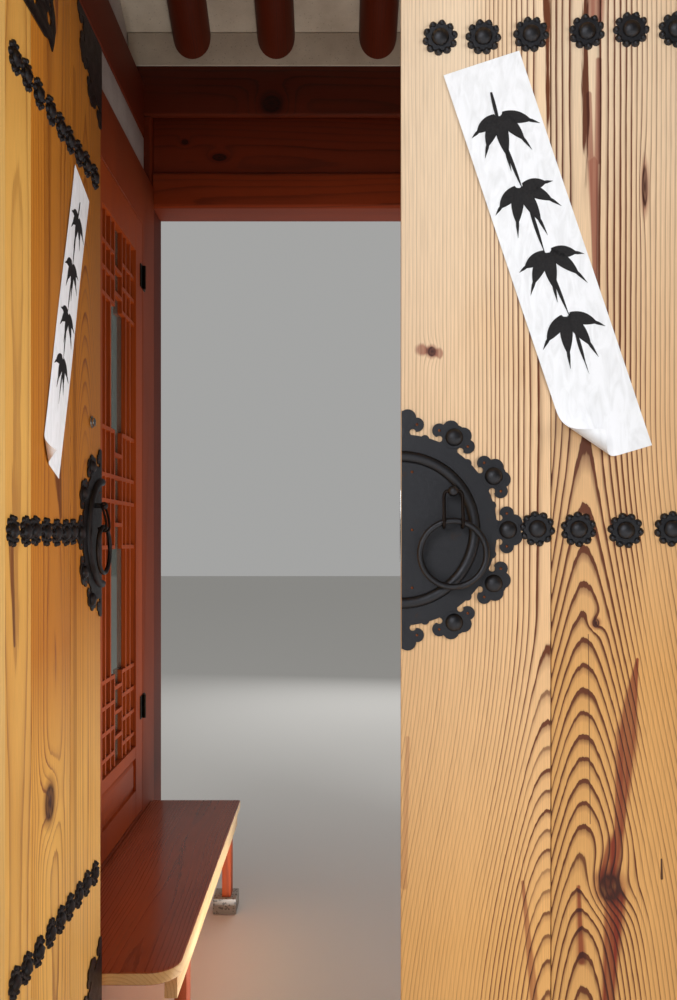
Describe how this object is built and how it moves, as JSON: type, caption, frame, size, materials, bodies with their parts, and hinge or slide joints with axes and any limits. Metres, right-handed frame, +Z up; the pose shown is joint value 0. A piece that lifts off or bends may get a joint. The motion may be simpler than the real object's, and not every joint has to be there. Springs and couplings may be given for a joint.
{
  "type": "gate bay of a Korean tiled-roof house (hanok), with its double plank gate, passage walls, bench and roof",
  "caption": "Timber gate bay with a tiled gable roof, double plank gate with ring pulls, lattice door pair and passage bench.",
  "frame": {"origin": "on the ground in the middle of the bay's plan, under the line where the two gate leaves meet", "axes": "+X to the right seen from the street, +Y from the street into the passage, +Z up"},
  "size_m": [2.54, 3.56, 4.2721],
  "materials": {
    "gate_pine": "satin",
    "pale_pine": "satin",
    "dark_timber": "satin",
    "red_lacquered_timber": "gloss",
    "glossy_bench_timber": "gloss",
    "plaster": "matt plaster",
    "granite": "matt dressed stone",
    "black_iron": "satin black",
    "roof_tile": "matt fired clay",
    "clear_glass": "clear",
    "chrome": "polished"
  },
  "bodies": {
    "gatehouse": {"left_plinth_stone": "granite", "right_plinth_stone": "granite", "front_sill_stone": "granite", "front_left_post": "dark_timber", "front_right_post": "dark_timber", "rear_left_post": "dark_timber", "rear_right_post": "dark_timber", "front_lower_beam": "dark_timber", "front_middle_board": "dark_timber", "front_purlin": "dark_timber", "rear_lower_beam": "dark_timber", "rear_middle_board": "dark_timber", "rear_purlin": "dark_timber", "ridge_purlin": "dark_timber", "left_side_beam": "dark_timber", "right_side_beam": "dark_timber", "left_king_post": "dark_timber", "right_king_post": "dark_timber", "left_gable_wall": "plaster", "right_gable_wall": "plaster", "threshold": "gate_pine", "gate_lintel": "pale_pine", "left_jamb": "pale_pine", "right_jamb": "pale_pine", "transom_wall": "plaster", "upper_pivot_rail": "gate_pine", "left_pivot_block": "gate_pine", "right_pivot_block": "gate_pine", "left_wall_frame": "red_lacquered_timber", "left_wall_front_panel": "plaster", "left_wall_top_panel": "plaster", "front_lattice_door": "red_lacquered_timber", "front_lattice_glass": "clear_glass", "right_wall_frame": "red_lacquered_timber", "right_wall_lower_panel": "plaster", "right_wall_upper_panel": "plaster", "right_wall_top_panel": "plaster", "bench_seat": "glossy_bench_timber", "bench_frame": "glossy_bench_timber", "front_rafters_and_soffit": "dark_timber", "rear_rafters_and_soffit": "dark_timber", "front_tile_slope": "roof_tile", "rear_tile_slope": "roof_tile", "main_ridge": "roof_tile", "left_bargeboard": "dark_timber", "right_bargeboard": "dark_timber"},
    "left_gate_leaf": {"left_leaf": "gate_pine", "left_ring_plate": "black_iron", "lock_cylinder": "chrome"},
    "right_gate_leaf": {"right_leaf": "gate_pine", "right_ring_plate": "black_iron"},
    "left_link": {"left_ring_link": "black_iron"},
    "right_link": {"right_ring_link": "black_iron"},
    "left_ring": {"left_pull_ring": "black_iron"},
    "right_ring": {"right_pull_ring": "black_iron"},
    "rear_lattice_leaf": {"rear_lattice_door": "red_lacquered_timber", "rear_lattice_glass": "clear_glass"}
  },
  "joints": [
    {"name": "left_leaf_pivot", "type": "hinge", "parent": "gatehouse", "child": "left_gate_leaf", "pos_m": [-0.62, -1.014, 1.31], "axis": [0, 0, 1], "range_deg": [-90, 0]},
    {"name": "right_leaf_pivot", "type": "hinge", "parent": "gatehouse", "child": "right_gate_leaf", "pos_m": [0.62, -1.014, 1.31], "axis": [0, 0, -1], "range_deg": [-3.5, 86.5]},
    {"name": "left_link_swing", "type": "hinge", "parent": "left_gate_leaf", "child": "left_link", "pos_m": [-0.573, -0.473, 1.366], "axis": [0, -1, 0], "range_deg": [0, 75]},
    {"name": "right_link_swing", "type": "hinge", "parent": "right_gate_leaf", "child": "right_link", "pos_m": [0.07714, -1.02789, 1.366], "axis": [-0.9981, 0.061, 0], "range_deg": [0, 75]},
    {"name": "left_ring_swing", "type": "hinge", "parent": "left_link", "child": "left_ring", "pos_m": [-0.573, -0.473, 1.321], "axis": [0, -1, 0], "range_deg": [0, 90]},
    {"name": "right_ring_swing", "type": "hinge", "parent": "right_link", "child": "right_ring", "pos_m": [0.07714, -1.02789, 1.321], "axis": [-0.9981, 0.061, 0], "range_deg": [0, 90]},
    {"name": "lattice_door_hinge", "type": "hinge", "parent": "gatehouse", "child": "rear_lattice_leaf", "pos_m": [-0.767, 0.8295, 1.4], "axis": [0, 0, 1], "range_deg": [0, 90]}
  ]
}
